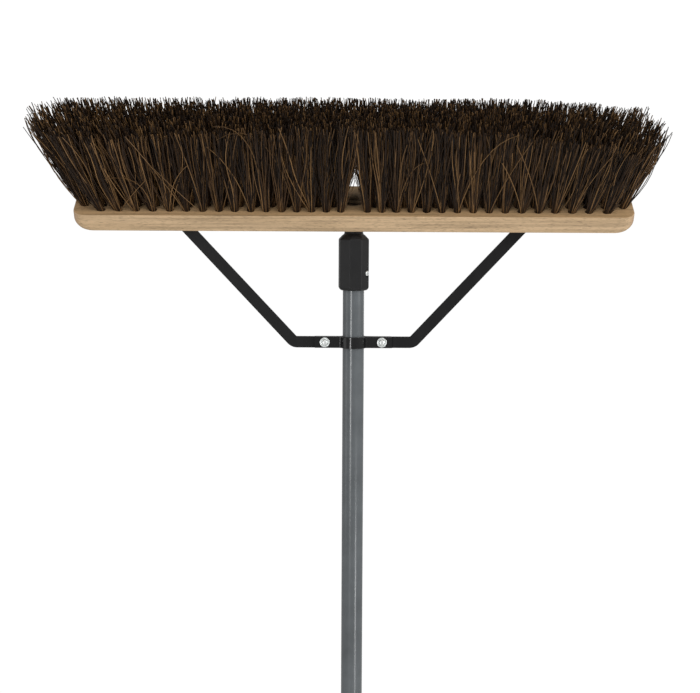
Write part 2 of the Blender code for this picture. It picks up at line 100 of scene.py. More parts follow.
# Places read from the frame
TUBE_LOW, TUBE_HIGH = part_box("handle_tube")
TUBE_RADIUS = TUBE_HIGH.x
CAP_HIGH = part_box("hang_cap")[1]
FERRULE_LOW, FERRULE_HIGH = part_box("ferrule")
HANDLE_LENGTH = FERRULE_HIGH.z
BLOCK_LOW, BLOCK_HIGH = box_in("block", HEAD)
BLOCK_MIDDLE = (BLOCK_LOW.y + BLOCK_HIGH.y) / 2
CAD_SIDE = cad_box[0][0], cad_box[1][0]
SADDLE_LOW, SADDLE_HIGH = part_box("clamp_front_saddle")
CLAMP = Matrix.Translation((0, 0, (SADDLE_LOW.z + SADDLE_HIGH.z) / 2))
BOLT_LOW, BOLT_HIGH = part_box("clamp_bolt_right")
BOLT_X = (BOLT_LOW.x + BOLT_HIGH.x) / 2

# Handle
TUBE_WALL = 0.9 * MM
CAP_SOLID = 26 * MM
CAP_ROUND = 3 * MM
CAP_GROOVES = (31 * MM, 36 * MM)
HANG_HOLE_RADIUS = 5 * MM
HANG_HOLE_HEIGHT = 13 * MM

# Ferrule and its threaded tip
FERRULE_FLAT = 16.1 * MM
FERRULE_CORNER = 1.7 * MM
FERRULE_TURN = math.radians(8)
FERRULE_SHOULDER = BLOCK_HEIGHT - 18.4 * MM
NECK_BOTTOM = BLOCK_HEIGHT - 13.5 * MM
NECK_TOP = BLOCK_HEIGHT - 6.6 * MM
NECK_RADIUS = 10.4 * MM
THREAD_START = NECK_TOP + 1.2 * MM
THREAD_LEAD = 5.08 * MM
THREAD_CREST = 9.5 * MM
THREAD_ROOT = 8 * MM
THREAD_FIT = 0.35 * MM
CORE_RADIUS = 4 * MM
CORE_BOTTOM = BLOCK_HEIGHT - 19 * MM
SCREW_HEIGHT = BLOCK_HEIGHT - 56 * MM
SCREW_BEARING = math.radians(69)
SCREW_SEAT = 14.7 * MM
SCREW_RECESS = 4.3 * MM
SCREW_HOLE = 2.1 * MM
SCREW_SHANK = 1.75 * MM

# Block and bristles: a tuft's place along its row is FIRST + STEP * k + GROWTH * k * k
BLOCK_CORNER = 13 * MM
BLOCK_END_ROUND = 12 * MM
BLOCK_EDGE_ROUND = 2.5 * MM
BLOCK_FACE_ROUND = 0.9 * MM
ROWS = 5
ROW_PITCH = 10.25 * MM
LAST_TUFT = 16
TUFT_FIRST = 14.5 * MM
TUFT_STEP = 15.72 * MM
TUFT_GROWTH = 0.113 * MM
TUFT_RADIUS = 4 * MM
TUFT_DEPTH = 11 * MM
BRISTLE_LENGTH = 108 * MM
TIP_ROW_SPREAD = 1.12

# Brace: each curve of an arm takes ARM_STEPS sections. Its round end turns END_STEP degrees at a
# time, so the last section keeps some width
BAR_WIDTH = 12.7 * MM
BAR_THICKNESS = 3.2 * MM
BAR_EDGE = 0.5 * MM
STRAP_THICKNESS = 2.3 * MM
STRAP_EDGE = 0.45 * MM
ARM_INNER_END = 19 * MM
ARM_KNEE = 62.3 * MM
ARM_KNEE_RADIUS = 2.2 * MM
ARM_SLANT = math.radians(43.2)
ARM_FOLD_RADIUS = 4 * MM
ARM_STEPS = 12
END_STEP = 7.6
FOOT_LENGTH = 30 * MM
FOOT_SCREW_REACH = 15 * MM
FOOT_SCREW_RADIUS = 1.85 * MM
BOLT_RADIUS = 2.4 * MM
HOLE_REACH = 9 * MM
NUT_HEIGHT = 4 * MM
NUT_HALF_WIDTH = 4 * MM


# ---------------------------------------------------------------- camera, light and floor

def add_camera():
    """The camera looks down a little at a point beside the handle's axis, under the ferrule."""
    pitch = math.radians(6.5)
    roll = math.radians(0.3)
    distance = 1.75
    target = Vector((-3.6 * MM, 0, BLOCK_HEIGHT - 138.1 * MM))
    data = bpy.data.cameras.new("camera")
    data.sensor_width = 36
    data.lens = 80.7
    camera = bpy.data.objects.new("camera", data)
    bpy.context.scene.collection.objects.link(camera)
    camera.location = target + Vector((0, -math.cos(pitch), math.sin(pitch))) * distance
    aim = Matrix.Rotation(QUARTER - pitch, 3, "X") @ Matrix.Rotation(roll, 3, "Z")
    camera.rotation_euler = aim.to_euler()
    bpy.context.scene.camera = camera


def add_soft_box(name, bearing, distance, height, size, power, aim):
    """An area light at a bearing in degrees, from -Y towards +X, facing the handle's axis."""
    data = bpy.data.lights.new(name, "AREA")
    data.shape = "RECTANGLE"
    data.size, data.size_y = size
    data.energy = power
    light = bpy.data.objects.new(name, data)
    bpy.context.scene.collection.objects.link(light)
    turn = math.radians(bearing)
    light.location = (distance * math.sin(turn), -distance * math.cos(turn), height)
    aim_line = Vector((0, 0, aim)) - light.location
    light.rotation_euler = aim_line.to_track_quat("-Z", "Y").to_euler()
    light.visible_camera = False


def add_world(seen, given):
    """A plain white backdrop for the eye, which gives less light than it shows."""
    world = bpy.data.worlds.new("studio")
    bpy.context.scene.world = world
    world.use_nodes = True
    tree = world.node_tree
    backdrop = tree.nodes["Background"]
    backdrop.inputs["Strength"].default_value = seen
    backdrop.inputs["Color"].default_value = (1, 1, 1, 1)
    fill = add_node(tree, "ShaderNodeBackground", Color=(1, 0.995, 0.985, 1), Strength=given)
    path = add_node(tree, "ShaderNodeLightPath")
    mix = tree.nodes.new("ShaderNodeMixShader")
    tree.links.new(path.outputs["Is Camera Ray"], mix.inputs[0])
    tree.links.new(fill.outputs[0], mix.inputs[1])
    tree.links.new(backdrop.outputs[0], mix.inputs[2])
    tree.links.new(mix.outputs[0], tree.nodes["World Output"].inputs["Surface"])


def add_floor():
    """A plain pale floor under the handle's end."""
    reach = 2.4
    corners = [(-reach, -reach, 0), (reach, -reach, 0), (reach, reach, 0), (-reach, reach, 0)]
    mesh = bpy.data.meshes.new("floor")
    mesh.from_pydata(corners, [], [(0, 1, 2, 3)])
    floor = bpy.data.objects.new("floor", mesh)
    bpy.context.scene.collection.objects.link(floor)
    tree, shader = new_material("pale_floor", Roughness=0.8)
    mottle = noise(tree, place(tree), 3, detail=3)
    tones = [(0.3, (0.80, 0.80, 0.79)), (0.7, (0.84, 0.84, 0.83))]
    feed(tree, shader, "Base Color", ramp(tree, mottle, tones))
    mesh.materials.append(finishes["pale_floor"])


# ---------------------------------------------------------------- material nodes

finishes = {}


def add_node(tree, kind, **inputs):
    """Add a node and feed its inputs; an underscore in an input's name stands for a space."""
    node = tree.nodes.new(kind)
    for name, value in inputs.items():
        feed(tree, node, name.replace("_", " "), value)
    return node


def feed(tree, node, name, value):
    """Set a node's input, or link it where the value is another node's output."""
    if isinstance(value, bpy.types.NodeSocket):
        tree.links.new(value, node.inputs[name])
    else:
        node.inputs[name].default_value = value


def new_material(name, **inputs):
    """A material with a Principled shader, kept under its name in finishes."""
    material = finishes[name] = bpy.data.materials.new(f"finish_{name}")
    material.use_nodes = True
    shader = material.node_tree.nodes["Principled BSDF"]
    for key, value in inputs.items():
        shader.inputs[key.replace("_", " ")].default_value = value
    return material.node_tree, shader


def place(tree, stretch=(1, 1, 1)):
    """The piece's own coordinates; a small stretch makes a pattern long in that direction."""
    own = add_node(tree, "ShaderNodeTexCoord")
    mapping = add_node(tree, "ShaderNodeMapping", Vector=own.outputs["Object"], Scale=stretch)
    return mapping.outputs["Vector"]


def noise(tree, vector, scale, detail=2.0, roughness=0.5, distortion=0.0):
    node = add_node(tree, "ShaderNodeTexNoise", Vector=vector, Scale=scale, Detail=detail,
                    Roughness=roughness, Distortion=distortion)
    return node.outputs["Fac"]


def ramp(tree, factor, stops):
    """A colour, or a grey value, for each place along the factor."""
    node = add_node(tree, "ShaderNodeValToRGB", Fac=factor)
    elements = node.color_ramp.elements
    while len(elements) < len(stops):
        elements.new(0.5)
    for element, (position, value) in zip(elements, stops):
        element.position = position
        colour = value if isinstance(value, tuple) else (value, value, value)
        element.color = (*colour, 1)
    return node.outputs["Color"]


def mix(tree, first, second, share=1.0, kind="MIX"):
    """Blend a second colour over the first; the Mix node's inputs 6 and 7 are its two colours."""
    node = tree.nodes.new("ShaderNodeMix")
    node.data_type = "RGBA"
    node.blend_type = kind
    sockets = (node.inputs[0], node.inputs[6], node.inputs[7])
    for socket, value in zip(sockets, (share, first, second)):
        if isinstance(value, bpy.types.NodeSocket):
            tree.links.new(value, socket)
        else:
            socket.default_value = value
    return node.outputs[2]


def bump(tree, shader, height, depth, strength=1.0):
    """Relief of this depth in metres, on the shader's normal."""
    node = add_node(tree, "ShaderNodeBump", Height=height, Distance=depth, Strength=strength)
    feed(tree, shader, "Normal", node.outputs["Normal"])


def attribute(tree, name):
    """A value kept on the mesh's points under this name."""
    node = tree.nodes.new("ShaderNodeAttribute")
    node.attribute_name = name
    return node.outputs["Fac"]


# ---------------------------------------------------------------- materials

def make_beech():
    """Planed beech with grain lines along X, dark flecks and darker end grain, with painted shade
    in the bore and on the face under the bristles.
    """
    tree, shader = new_material("beech", Roughness=0.62, Specular_IOR_Level=0.3)
    tone = noise(tree, place(tree, (3, 26, 40)), 1.6, detail=3, distortion=0.4)
    base = ramp(tree, tone, [(0.3, (0.58, 0.405, 0.235)), (0.7, (0.68, 0.485, 0.295))])
    lines = noise(tree, place(tree, (9, 260, 420)), 1.0, detail=4, roughness=0.65)
    base = mix(tree, base, ramp(tree, lines, [(0.36, 0.66), (0.56, 1.0)]), 0.9, "MULTIPLY")
    flecks = noise(tree, place(tree, (170, 1500, 1700)), 1.0, detail=1)
    base = mix(tree, base, ramp(tree, flecks, [(0.57, 1.0), (0.70, 0.55)]), 0.85, "MULTIPLY")
    streak = noise(tree, place(tree, (5, 60, 110)), 1.0, detail=2, distortion=1.2)
    base = mix(tree, base, ramp(tree, streak, [(0.63, 1.0), (0.74, 0.8)]), 0.9, "MULTIPLY")
    own = add_node(tree, "ShaderNodeTexCoord")
    split = add_node(tree, "ShaderNodeSeparateXYZ", Vector=own.outputs["Normal"])
    sideways = tree.nodes.new("ShaderNodeMath")
    sideways.operation = "ABSOLUTE"
    feed(tree, sideways, 0, split.outputs["X"])
    pores = noise(tree, place(tree), 1500, detail=1)
    end = ramp(tree, pores, [(0.4, (0.36, 0.22, 0.14)), (0.6, (0.50, 0.34, 0.23))])
    ends = ramp(tree, sideways.outputs[0], [(0.45, 0.0), (0.95, 0.75)])
    base = mix(tree, base, end, ends)
    # painted shade: the face that looks up into the bristles is darkened, as where the fibres shade
    # it
    bristle_face_shade = ramp(tree, split.outputs["Z"], [(0.8, 1.0), (0.98, (0.96, 0.88, 0.76))])
    base = mix(tree, base, bristle_face_shade, 1.0, "MULTIPLY")
    along = add_node(tree, "ShaderNodeMapping", Vector=own.outputs["Object"],
                     Rotation=(HANDLE_TILT, 0, 0))
    across = add_node(tree, "ShaderNodeSeparateXYZ", Vector=along.outputs[0])
    flat = add_node(tree, "ShaderNodeCombineXYZ", X=across.outputs["X"], Y=across.outputs["Y"])
    distance = tree.nodes.new("ShaderNodeVectorMath")
    distance.operation = "LENGTH"
    feed(tree, distance, 0, flat.outputs[0])
    # painted shade: the wood inside the threaded bore is darkened to near black, as shade in the
    # hole
    stops = [(THREAD_CREST + 0.7 * MM, 0.16), (THREAD_CREST + 1.4 * MM, 1.0)]
    bore = ramp(tree, distance.outputs["Value"], stops)
    feed(tree, shader, "Base Color", mix(tree, base, bore, 1.0, "MULTIPLY"))
    feed(tree, shader, "Roughness", ramp(tree, lines, [(0.3, 0.7), (0.7, 0.56)]))
    bump(tree, shader, mix(tree, lines, flecks, 0.4), 0.12 * MM, 0.5)


def make_fibre():
    """Palmyra stalks: each has its own brown, darker towards the trimmed end, with painted shade
    darkening the roots.
    """
    tree, shader = new_material("palmyra_fibre", Roughness=0.5, Specular_IOR_Level=0.25)
    brown = ramp(tree, attribute(tree, "tone"), [
        (0.0, (0.010, 0.0053, 0.0031)), (0.4, (0.028, 0.0147, 0.0074)),
        (0.7, (0.092, 0.047, 0.018)), (1.0, (0.27, 0.15, 0.060))])
    # painted shade at the roots, deep in the tufts; the fibres also darken towards their trimmed
    # tips
    root_shade_and_tip_darkening = ramp(tree, attribute(tree, "along"),
                  [(0.0, 0.75), (0.12, 0.95), (0.75, 0.9), (1.0, 0.75)])
    brown = mix(tree, brown, root_shade_and_tip_darkening, 1.0, "MULTIPLY")
    speckle = noise(tree, place(tree, (1, 1, 0.16)), 900, detail=2)
    brown = mix(tree, brown, ramp(tree, speckle, [(0.3, 0.7), (0.7, 1.25)]), 0.7, "MULTIPLY")
    feed(tree, shader, "Base Color", brown)
    feed(tree, shader, "Roughness", ramp(tree, speckle, [(0.3, 0.58), (0.7, 0.42)]))
    bump(tree, shader, speckle, 0.08 * MM, 0.5)


def make_paint(name, colour, roughness, grain, relief, specular):
    """Paint or enamel over steel: a fine skin, a slight mottle and a few rubbed spots."""
    tree, shader = new_material(name, Roughness=roughness, Specular_IOR_Level=specular)
    mottle = noise(tree, place(tree), 40, detail=4)
    darker = tuple(0.86 * part for part in colour)
    lighter = tuple(1.12 * part for part in colour)
    feed(tree, shader, "Base Color", ramp(tree, mottle, [(0.3, darker), (0.7, lighter)]))
    skin_noise = noise(tree, place(tree), grain, detail=2)
    rubbed = noise(tree, place(tree, (1, 1, 0.15)), 120, detail=5)
    dull = ramp(tree, rubbed, [(0.4, roughness), (0.75, min(1.0, roughness * 1.35))])
    feed(tree, shader, "Roughness", dull)
    bump(tree, shader, skin_noise, relief)


def make_plastic(name, colour, roughness):
    """Moulded plastic with a fine spark-eroded grain."""
    tree, shader = new_material(name, Roughness=roughness, Specular_IOR_Level=0.3)
    cloud = noise(tree, place(tree), 60, detail=3)
    paler = tuple(1.3 * part for part in colour)
    feed(tree, shader, "Base Color", ramp(tree, cloud, [(0.35, colour), (0.75, paler)]))
    grain = noise(tree, place(tree), 1800, detail=2)
    stops = [(0.3, roughness * 0.9), (0.7, roughness * 1.15)]
    feed(tree, shader, "Roughness", ramp(tree, grain, stops))
    bump(tree, shader, grain, 0.03 * MM)


def make_metal(name, colour, roughness):
    """Plated or drawn steel with fine turning marks and a little haze."""
    tree, shader = new_material(name, Metallic=1.0, Roughness=roughness)
    haze = noise(tree, place(tree), 220, detail=3)
    duller = tuple(0.9 * part for part in colour)
    feed(tree, shader, "Base Color", ramp(tree, haze, [(0.35, duller), (0.6, colour)]))
    stops = [(0.3, roughness * 1.2), (0.7, roughness * 0.9)]
    feed(tree, shader, "Roughness", ramp(tree, haze, stops))
    marks = noise(tree, place(tree, (1, 1, 8)), 700, detail=2)
    bump(tree, shader, marks, 0.01 * MM, 0.3)


def make_materials():
    make_beech()
    make_fibre()
    make_paint("black_paint", (0.008, 0.008, 0.0085), 0.38, 900, 0.05 * MM, 0.22)
    make_paint("gloss_black_paint", (0.008, 0.008, 0.0085), 0.16, 260, 0.04 * MM, 0.38)
    make_paint("grey_enamel", (0.108, 0.119, 0.127), 0.2, 500, 0.01 * MM, 0.5)
    make_plastic("ferrule_plastic", (0.010, 0.010, 0.0105), 0.42)
    make_plastic("cap_plastic", (0.014, 0.014, 0.015), 0.48)
    make_metal("zinc", (0.93, 0.96, 0.95), 0.34)
    make_metal("steel_pin", (0.10, 0.10, 0.10), 0.45)


# ---------------------------------------------------------------- mesh tools

def skin_mesh(rings, looped=False):
    """Join equal rings of points into a closed skin, capped at both ends or looped round."""
    bm = bmesh.new()
    add_skin(bm, rings, looped)
    return mesh_from(bm)


def add_skin(bm, rings, looped=False):
    loops = [[bm.verts.new(point) for point in ring] for ring in rings]
    pairs = list(zip(loops, loops[1:]))
    if looped:
        pairs.append((loops[-1], loops[0]))
    else:
        bm.faces.new(loops[0])
        bm.faces.new(loops[-1])
    count = len(loops[0])
    for low, high in pairs:
        for i in range(count):
            j = (i + 1) % count
            bm.faces.new((low[i], low[j], high[j], high[i]))


def mesh_from(bm):
    bmesh.ops.recalc_face_normals(bm, faces=bm.faces)
    mesh = bpy.data.meshes.new("shape")
    bm.to_mesh(mesh)
    bm.free()
    return mesh


def circle(radius, z, count=48, centre=(0.0, 0.0)):
    angles = [2 * math.pi * i / count for i in range(count)]
    return [(centre[0] + radius * math.cos(a), centre[1] + radius * math.sin(a), z) for a in angles]


def turned(profile, count=48, looped=False):
    """Revolve (radius, height) points about Z."""
    return skin_mesh([circle(radius, z, count) for radius, z in profile], looped)


def arc(centre, radius, start, stop, steps=5):
    """Points along part of a circle, with the angles in degrees."""
    angles = [math.radians(start + (stop - start) * i / steps) for i in range(steps + 1)]
    return [(centre[0] + radius * math.cos(a), centre[1] + radius * math.sin(a)) for a in angles]


def cut(mesh, tool_mesh, place_matrix=Matrix.Identity(4), operation="DIFFERENCE"):
    """Apply one Boolean to a mesh and return the result."""
    objects = bpy.context.scene.collection.objects
    target = bpy.data.objects.new("target", mesh)
    tool = bpy.data.objects.new("tool", tool_mesh)
    objects.link(target)
    objects.link(tool)
    tool.matrix_world = place_matrix
    modifier = target.modifiers.new("cut", "BOOLEAN")
    modifier.operation = operation
    modifier.solver = "EXACT"
    modifier.object = tool
    bpy.context.view_layer.update()
    evaluated = target.evaluated_get(bpy.context.evaluated_depsgraph_get())
    result = bpy.data.meshes.new_from_object(evaluated)
    bpy.data.objects.remove(target, do_unlink=True)
    bpy.data.objects.remove(tool, do_unlink=True)
    return result


def add_piece(name, mesh, material, body, stands_for, matrix=Matrix.Identity(4), sharp=32):
    """Place a finished mesh in the scene, on its body, in its node's stead."""
    mesh.name = name
    mesh.materials.clear()
    mesh.materials.append(finishes[material])
    mesh.shade_smooth()
    mesh.set_sharp_from_angle(angle=math.radians(sharp))
    piece = bpy.data.objects.new(name, mesh)
    bpy.context.scene.collection.objects.link(piece)
    piece.matrix_world = matrix
    even = piece.modifiers.new("even", "WEIGHTED_NORMAL")
    even.keep_sharp = True
    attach(piece, body)
    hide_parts(stands_for)


def bearing_frame(height, bearing, distance):
    """A frame on the handle whose +Z points outwards, at a bearing from -Y towards +X."""
    outward = Vector((math.sin(bearing), -math.cos(bearing), 0))
    up = Vector((0, 0, 1))
    turn = Matrix((up.cross(outward), up, outward)).transposed().to_4x4()
    return Matrix.Translation(outward * distance + Vector((0, 0, height))) @ turn


def drill(radius, reach, count=32):
    """A round cutter along Z, reaching this far both ways."""
    return turned([(radius, -reach), (radius, reach)], count)


def slot_tool(half_length, half_width, floor, top):
    """A straight slot's cutter, along X."""
    corners = [(-half_length, -half_width), (half_length, -half_width),
               (half_length, half_width), (-half_length, half_width)]
    return skin_mesh([[(x, y, z) for x, y in corners] for z in (floor, top)])


# ---------------------------------------------------------------- handle

def build_tube():
    """The handle's tube, with a rolled rim at each end and a hole for the ferrule's screw."""
    low, high = TUBE_LOW.z, TUBE_HIGH.z
    inner = TUBE_RADIUS - TUBE_WALL
    middle = TUBE_RADIUS - TUBE_WALL / 2
    profile = arc((middle, low + TUBE_WALL / 2), TUBE_WALL / 2, -180, 0)
    profile += arc((middle, high - TUBE_WALL / 2), TUBE_WALL / 2, 0, 180)
    mesh = turned(profile, 72, looped=True)
    mesh = cut(mesh, drill(SCREW_HOLE, inner / 2, 24),
               bearing_frame(SCREW_HEIGHT, SCREW_BEARING, TUBE_RADIUS))
    add_piece("handle_tube_shell", mesh, "grey_enamel", "handle", "handle_tube")


def build_hang_cap():
    """A moulded cap with a rounded rim, two grip grooves and a flared hole for a hook."""
    radius, height = CAP_HIGH.x, CAP_HIGH.z
    socket = TUBE_RADIUS + GAP
    half_groove, rim = 1.2 * MM, 0.8 * MM
    profile = arc((radius - CAP_ROUND, CAP_ROUND), CAP_ROUND, -90, 0, 8)
    for groove in CAP_GROOVES:
        profile += [(radius, groove - half_groove)]
        profile += arc((radius + 0.4 * MM, groove), MM, 250, 110, 6)
        profile += [(radius, groove + half_groove)]
    profile += arc((radius - rim, height - rim), rim, 0, 90)
    profile += [(socket, height), (socket, CAP_SOLID)]
    mesh = turned(profile, 64)
    flare = [(HANG_HOLE_RADIUS + 2.4 * MM, radius + MM),
             (HANG_HOLE_RADIUS + 0.5 * MM, radius - 1.4 * MM),
             (HANG_HOLE_RADIUS, radius - 3 * MM)]
    flared_hole = [(wide, -high) for wide, high in flare] + flare[::-1]
    across = Matrix.Translation((0, 0, HANG_HOLE_HEIGHT)) @ Matrix.Rotation(QUARTER, 4, "X")
    mesh = cut(mesh, turned(flared_hole, 32), across)
    add_piece("hang_cap_moulding", mesh, "cap_plastic", "handle", "hang_cap")


def octagon(flat, corner, z, steps=4):
    """An octagon with round corners, from its half width across the flats."""
    half_turn = math.radians(22.5)
    reach = (flat - corner) / math.cos(half_turn)
    points = []
    for k in range(8):
        middle = FERRULE_TURN + math.radians(45 * k + 22.5)
        for i in range(steps + 1):
            angle = middle + half_turn * (2 * i / steps - 1)
            points.append((reach * math.cos(middle) + corner * math.cos(angle),
                           reach * math.sin(middle) + corner * math.sin(angle), z))
    return points


def threaded_rod(low, high, start, turns, grow=0.0, count=48):
    """A rod with a right-hand trapezoid thread that fades in and out over one turn.

    grow makes the rod and its ridge larger all round, to cut a hole that the rod fits.
    """
    row_height, ridge_share, flank_share = 0.3 * MM, 0.60, 0.14
    rows = round((high - low) / row_height)
    axial = grow / THREAD_LEAD
    rings = []
    for k in range(rows + 1):
        z = low + (high - low) * k / rows
        ring = []
        for i in range(count):
            climb = (z - start) / THREAD_LEAD - i / count
            phase = (climb + axial) % 1.0
            turn = climb + axial - phase + i / count
            ridge = min(phase, ridge_share + 2 * axial - phase) / flank_share
            fade = min(1.0, turn + 1 / count, turns - turn)
            height = max(0.0, min(1.0, ridge)) * max(0.0, fade)
            radius = THREAD_ROOT + grow + (THREAD_CREST - THREAD_ROOT) * height
            ring.append((radius * math.cos(2 * math.pi * i / count),
                         radius * math.sin(2 * math.pi * i / count), z))
        rings.append(ring)
    return skin_mesh(rings)


def ferrule_shell():
    """The octagonal moulding, rounded off below and drawn in to its round neck above."""
    low, flat, corner = FERRULE_LOW.z, FERRULE_FLAT, FERRULE_CORNER
    rings = [(flat - 2.6 * MM, flat - 2.6 * MM, low),
             (flat - 1.7 * MM, 8 * MM, low + 0.4 * MM),
             (flat - 0.9 * MM, 3 * MM, low + 1.4 * MM),
             (flat - 0.3 * MM, corner, low + 2.6 * MM),
             (flat, corner, low + 3.8 * MM),
             (flat, corner, FERRULE_SHOULDER - 0.8 * MM),
             (flat - 0.3 * MM, corner + 0.4 * MM, FERRULE_SHOULDER + 0.3 * MM),
             (12.6 * MM, 8 * MM, NECK_BOTTOM - 0.7 * MM),
             (11.1 * MM, 11.1 * MM, NECK_BOTTOM + 0.5 * MM),
             (NECK_RADIUS, NECK_RADIUS, NECK_BOTTOM + 1.7 * MM),
             (NECK_RADIUS, NECK_RADIUS, NECK_TOP - 0.5 * MM),
             (NECK_RADIUS - 0.5 * MM, NECK_RADIUS - 0.5 * MM, NECK_TOP)]
    return skin_mesh([octagon(*ring) for ring in rings])


def build_ferrule():
    """The moulding with its threaded tip, the tube's socket, the core's bore and a screw recess."""
    tip = threaded_rod(NECK_TOP - 2 * MM, HANDLE_LENGTH, THREAD_START, 3)
    mesh = cut(ferrule_shell(), tip, operation="UNION")
    socket = TUBE_RADIUS + GAP
    mesh = cut(mesh, turned([(socket, FERRULE_LOW.z - MM), (socket, TUBE_HIGH.z + GAP)], 72))
    bore = CORE_RADIUS + GAP
    mesh = cut(mesh, turned([(bore, CORE_BOTTOM - GAP), (bore, HANDLE_LENGTH + MM)], 32))
    pocket = [(SCREW_HOLE, -9 * MM), (SCREW_HOLE, -GAP), (SCREW_RECESS - 0.4 * MM, -GAP),
              (SCREW_RECESS, 0.4 * MM), (SCREW_RECESS, 9 * MM)]
    mesh = cut(mesh, turned(pocket, 32), bearing_frame(SCREW_HEIGHT, SCREW_BEARING, SCREW_SEAT))
    add_piece("ferrule_moulding", mesh, "ferrule_plastic", "handle", "ferrule")


def build_ferrule_screw():
    """A slotted pan-head screw."""
    profile = [(1.0 * MM, -8 * MM), (SCREW_SHANK, -6.6 * MM), (SCREW_SHANK, 0),
               (3.2 * MM, 0), (3.3 * MM, 0.1 * MM)]
    profile += arc((2.1 * MM, 0.75 * MM), 1.2 * MM, 0, 90, 8)
    mesh = cut(turned(profile, 40), slot_tool(4 * MM, 0.35 * MM, 1.0 * MM, 3 * MM))
    add_piece("ferrule_pan_screw", mesh, "zinc", "handle", "ferrule_screw",
              bearing_frame(SCREW_HEIGHT, SCREW_BEARING, SCREW_SEAT))


def build_tip_core():
    """The core pin, with rounded ends and a lathe centre in the upper one."""
    edge = 0.8 * MM
    profile = arc((CORE_RADIUS - edge, CORE_BOTTOM + edge), edge, -90, 0)
    profile += arc((CORE_RADIUS - edge, HANDLE_LENGTH - edge), edge, 0, 90)
    profile += [(1.4 * MM, HANDLE_LENGTH), (0.3 * MM, HANDLE_LENGTH - 1.2 * MM)]
    add_piece("tip_core_turned", turned(profile), "steel_pin", "tip_core", "tip_core_pin")


# ---------------------------------------------------------------- block

def tuft_places(row, side):
    """X of each tuft of half a row, from the middle outwards.

    The outer rows stop one tuft short, and the rows between them and the middle are staggered.
    """
    if row == (ROWS - 1) // 2:
        steps = np.arange(LAST_TUFT + 1)
    elif row % 2:
        steps = LAST_TUFT * (np.arange(LAST_TUFT) + 0.5) / (LAST_TUFT - 0.5)
    else:
        steps = np.arange(LAST_TUFT)
    return side * (TUFT_FIRST + TUFT_STEP * steps + TUFT_GROWTH * steps * steps)


def row_place(row):
    """Where a row of tufts stands across the block."""
    return BLOCK_MIDDLE + (row - (ROWS - 1) / 2) * ROW_PITCH


def edge_inset(radius, depth):
    """How far a rounded edge of this radius stands back at this depth below the flat."""
    rest = max(0.0, radius - depth)
    return radius - math.sqrt(radius * radius - rest * rest)


def block_outline(inset_x, inset_y, z):
    """The block's plan, with round corners, drawn in from its ends and its sides."""
    half_length = BLOCK_HIGH.x - inset_x
    half_width = (BLOCK_HIGH.y - BLOCK_LOW.y) / 2 - inset_y
    points = []
    for k, (sx, sy) in enumerate(QUADRANTS):
        middle = (sx * (half_length - BLOCK_CORNER),
                  BLOCK_MIDDLE + sy * (half_width - BLOCK_CORNER))
        points += [(x, y, z) for x, y in arc(middle, BLOCK_CORNER, 90 * k, 90 * k + 90, 14)]
    return points


def build_block():
    """The drilled block: tuft holes in one face, a tilted threaded hole through the middle."""
    thick = BLOCK_HIGH.z
    rings = []
    for level in (0, 0.12, 0.4, 0.9, 1.6, 2.5, 3.6, 5.0, 6.6, 8.3, 10.1, 12):
        depth = level * MM
        rings.append(block_outline(edge_inset(BLOCK_END_ROUND, depth),
                                   edge_inset(BLOCK_EDGE_ROUND, depth), depth))
    for level in (0.9, 0.5, 0.2, 0.05, 0):
        depth = level * MM
        inset = edge_inset(BLOCK_FACE_ROUND, depth)
        rings.append(block_outline(inset, inset, thick - depth))
    mesh = skin_mesh(rings)

    holes = bmesh.new()
    levels = (thick - TUFT_DEPTH, thick + 2 * MM)
    for row in range(ROWS):
        for side in SIDES.values():
            for x in tuft_places(row, side):
                centre = (x, row_place(row))
                add_skin(holes, [circle(TUFT_RADIUS + GAP, z, 16, centre) for z in levels])
    mesh = cut(mesh, mesh_from(holes))

    lean = Matrix.Rotation(-HANDLE_TILT, 4, "X")
    start = THREAD_START - BLOCK_HEIGHT - 3 * THREAD_LEAD
    mesh = cut(mesh, threaded_rod(-24 * MM, 48 * MM, start, 11, grow=THREAD_FIT, count=32), lean)
    hole = FOOT_SCREW_RADIUS + 0.35 * MM
    for side in SIDES.values():
        pilot = turned([(hole, -MM), (hole, 8 * MM)], 16)
        mesh = cut(mesh, pilot, Matrix.Translation(foot_screw_place(side)))
    add_piece("beech_block", mesh, "beech", "head", "block", HEAD)


# ---------------------------------------------------------------- bristles

SEED = 24
FIBRES_PER_TUFT = 72
FIBRE_POINTS = 9
FIBRE_SIDES = 5
FIBRE_ROOT = 3 * MM
FIBRE_RADII = (0.34 * MM, 0.52 * MM)
BENT_RADIUS = 0.42 * MM
BENT_FOOT = 3 * MM
BENT_CLEAR = 6.4 * MM
BENT_STEP = 0.6 * MM

# Lean, scatter and bend of the fibres; across the block the tips scatter less than along it
TIP_RADIUS = 13 * MM
TUFT_LEAN = 1.8 * MM
TIP_SCATTER = 5 * MM
TIP_SCATTER_ACROSS = 0.7
STRAY_SHARE = 0.10
STRAY_SCATTER = 15 * MM
STRAY_SCATTER_ACROSS = 0.3
LEAN_CURVE = (0.1, 0.4)
FIBRE_BOW = 3.6 * MM
FIBRE_WAVE = 1.5 * MM
FAN_START = 100 * MM
FAN_SPAN = 195 * MM
FAN_POWER = 1.6
MIDDLE_LEAN = 10 * MM
MIDDLE_SPAN = 14 * MM
ROW_LIMIT = 1.8 * MM

# Trim of the tips: the front row is more ragged, and the back rows stand a little higher
RAGGED = 1.8 * MM
RAGGED_FRONT = 1.2
RAGGED_TUFT = 0.8 * MM
RAGGED_TUFT_FRONT = 1.5
BACK_RISE = 3.5 * MM
BROKEN_SHARE = 0.06
BROKEN_OFF = (5 * MM, 50 * MM)

